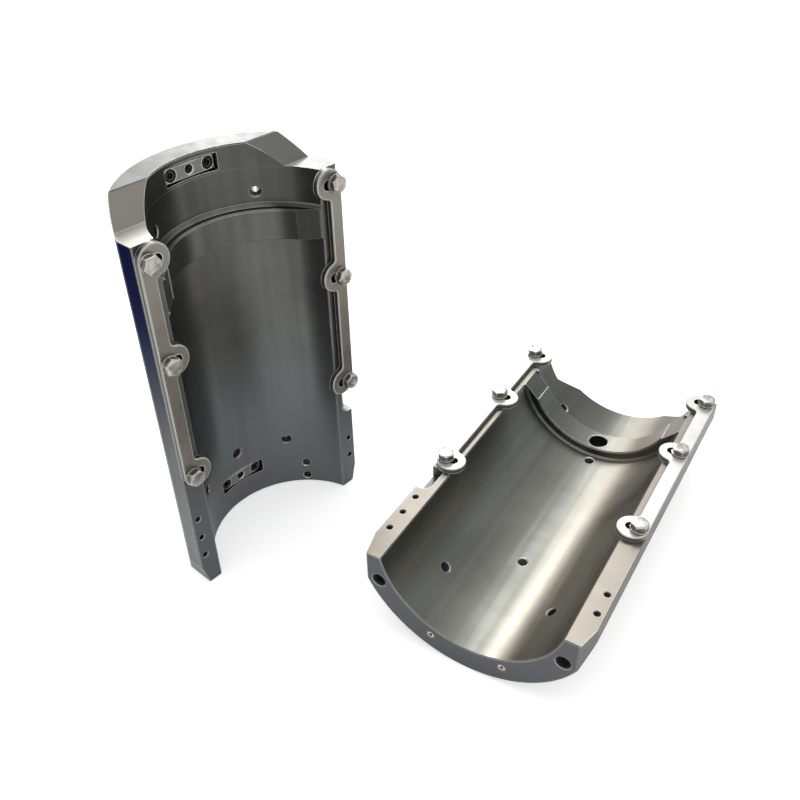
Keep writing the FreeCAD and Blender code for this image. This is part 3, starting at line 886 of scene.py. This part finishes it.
class MOULD_OT_holes(Operator):
    """Bare rims, walls and thread ridges of the drilled holes."""
    bl_idname = "mould.holes"
    bl_label = "Hole rims and threads"

    def execute(self, context):
        sizes = context.scene.mould_sizes
        finishes = context.scene.mould_finishes
        # The threads and the walls of tapped holes get a near-black colour: oil, and painted shade for
        # the dark inside of the holes
        oiled_and_shaded = once("oiled_thread", small_metal, tuple(finishes.thread), 0.3, 0.04)
        polished = once("polished_bore", small_metal, tuple(finishes.bare), 0.12, 0)
        bare = once("bare_rim", small_metal, tuple(finishes.bare), 0.35, 0)
        dull = once("dull_rim", small_metal, scaled(tuple(finishes.bare), 0.45), 0.35, 0)
        for kind, measures in HOLE_KINDS.items():
            share = measures[2]
            radius, bevel, _, pitch, end = (measure * MM for measure in measures)
            pattern = rim("rim_" + kind, radius, bevel, share, sizes.steps)
            pattern.data.materials.append(bare if share > 0.7 else dull)
            if end:
                wall = ring("wall_" + kind, radius - 0.12 * MM, radius - 0.02 * MM, bevel, end,
                            sizes.steps)
                wall.data.materials.append(oiled_and_shaded if pitch else polished)
                join(pattern, wall)
            if pitch:
                ridge = coil("coil_" + kind, radius, pitch, bevel + 0.4 * pitch, end, sizes.steps // 2)
                ridge.data.materials.append(oiled_and_shaded)
                join(pattern, ridge)
            for half, name, matrix in hole_places(kind):
                placed_copy(pattern, "hole_%s_%s_%s" % (half, kind, name), matrix, None,
                            "bar_steel" if kind == "eye" else "anodised_shell")
            bpy.data.objects.remove(pattern)
        return {"FINISHED"}


def lamp(name, kind, place, target, energy, **settings):
    """A lamp that shines from a place to a target."""
    data = bpy.data.lights.new(name, kind)
    data.energy = energy
    for key, value in settings.items():
        setattr(data, key, value)
    light = bpy.data.objects.new(name, data)
    light.location = place
    light.rotation_euler = (Vector(target) - Vector(place)).to_track_quat("-Z", "Y").to_euler()
    bpy.context.scene.collection.objects.link(light)
    return light


def ray_share(tree, camera, mirrored):
    """One value for rays from the camera, another for mirrored or refracted rays, 0 for the light."""
    path = add(tree, "ShaderNodeLightPath")
    bent = math_node(tree, "MAXIMUM", path.outputs["Is Glossy Ray"], path.outputs["Is Transmission Ray"])
    return math_node(tree, "ADD", math_node(tree, "MULTIPLY", path.outputs["Is Camera Ray"], camera),
                     math_node(tree, "MULTIPLY", bent, mirrored))


def add_floor(scene):
    """A pale floor that also glows a little for the camera and for mirrored rays."""
    deselect()
    bpy.ops.mesh.primitive_plane_add(size=14, location=(0, 0, 0))
    floor = bpy.context.object
    floor.name = "floor"
    material, tree, shader = metal("pale_floor", scene.mould_finishes.floor, 0.0, 0.9)
    shader.inputs["Specular IOR Level"].default_value = 0.0
    glow = add(tree, "ShaderNodeEmission", {"Strength": ray_share(tree, 0.5, 0.16)})
    both = add(tree, "ShaderNodeAddShader", {0: shader.outputs[0], 1: glow.outputs[0]})
    tree.links.new(both.outputs[0], tree.nodes["Material Output"].inputs["Surface"])
    floor.data.materials.append(material)


def add_sky(scene):
    """A white room, a quarter darker as light than it looks."""
    scene.world = bpy.data.worlds.new("studio")
    scene.world.use_nodes = True
    tree = scene.world.node_tree
    level = add(tree, "ShaderNodeMapRange", {"Value": ray_share(tree, 1.0, 1.0), "To Min": 0.75,
                                             "To Max": 1.0})
    background = tree.nodes["Background"]
    tree.links.new(level.outputs["Result"], background.inputs["Strength"])
    background.inputs["Color"].default_value = (1, 1, 1, 1)


def add_camera(scene):
    """The photograph's camera."""
    data = bpy.data.cameras.new("camera")
    data.lens = CAMERA_LENS
    data.sensor_width = SENSOR_WIDTH
    data.clip_start = 0.01
    data.clip_end = 50
    camera = bpy.data.objects.new("camera", data)
    scene.collection.objects.link(camera)
    ahead = Vector((math.sin(CAMERA_HEADING), math.cos(CAMERA_HEADING), 0))
    right = Vector((ahead.y, -ahead.x, 0))
    up = Vector((0, 0, 1))
    forward = math.cos(CAMERA_PITCH) * ahead - math.sin(CAMERA_PITCH) * up
    down = -math.sin(CAMERA_PITCH) * ahead - math.cos(CAMERA_PITCH) * up
    image_x = right * math.cos(CAMERA_ROLL) - down * math.sin(CAMERA_ROLL)
    image_y = right * math.sin(CAMERA_ROLL) + down * math.cos(CAMERA_ROLL)
    turn = Matrix((image_x, -image_y, -forward)).transposed().to_4x4()
    camera.matrix_world = Matrix.Translation(STANDING_FOOT + CAMERA_PLACE) @ turn
    scene.camera = camera


class MOULD_OT_stage(Operator):
    """Pale floor, soft light and the photograph's camera."""
    bl_idname = "mould.stage"
    bl_label = "Stage"

    def execute(self, context):
        scene = context.scene
        scene.view_settings.view_transform = "Standard"
        add_floor(scene)
        add_sky(scene)
        lamp("key", "SUN", (0.5, 1.0, 2.6), (0, 0, 0), 0.8, angle=math.radians(90))
        for name, place, energy, wide, high in AREA_LAMPS:
            box = lamp(name, "AREA", place, (0, 0, 0.1), energy, shape="RECTANGLE", size=wide,
                       size_y=high)
            box.visible_diffuse = False
            box.visible_camera = False
        add_camera(scene)
        return {"FINISHED"}


STEPS = (MOULD_OT_shells, MOULD_OT_strips, MOULD_OT_bolts, MOULD_OT_washers, MOULD_OT_bars,
         MOULD_OT_screws, MOULD_OT_plugs, MOULD_OT_holes, MOULD_OT_stage)


class MOULD_PT_steps(Panel):
    """Lists the steps that dress the shells."""
    bl_idname = "MOULD_PT_steps"
    bl_label = "Blow Mould"
    bl_space_type = "VIEW_3D"
    bl_region_type = "UI"
    bl_category = "Mould"

    def draw(self, context):
        for group in (context.scene.mould_sizes, context.scene.mould_finishes):
            for name in group.__annotations__:
                self.layout.prop(group, name)
        for step in STEPS:
            self.layout.operator(step.bl_idname)


CLASSES = (MouldSizes, MouldFinishes, *STEPS, MOULD_PT_steps)


def register():
    """Registers the classes and their settings."""
    for cls in CLASSES:
        bpy.utils.register_class(cls)
    bpy.types.Scene.mould_sizes = PointerProperty(type=MouldSizes)
    bpy.types.Scene.mould_finishes = PointerProperty(type=MouldFinishes)


def unregister():
    """Takes the classes and their settings away."""
    del bpy.types.Scene.mould_finishes
    del bpy.types.Scene.mould_sizes
    for cls in reversed(CLASSES):
        bpy.utils.unregister_class(cls)


def main():
    """Dresses the pair step by step."""
    register()
    for step in STEPS:
        group, name = step.bl_idname.split(".")
        getattr(getattr(bpy.ops, group), name)()


if __name__ == "__main__":
    main()
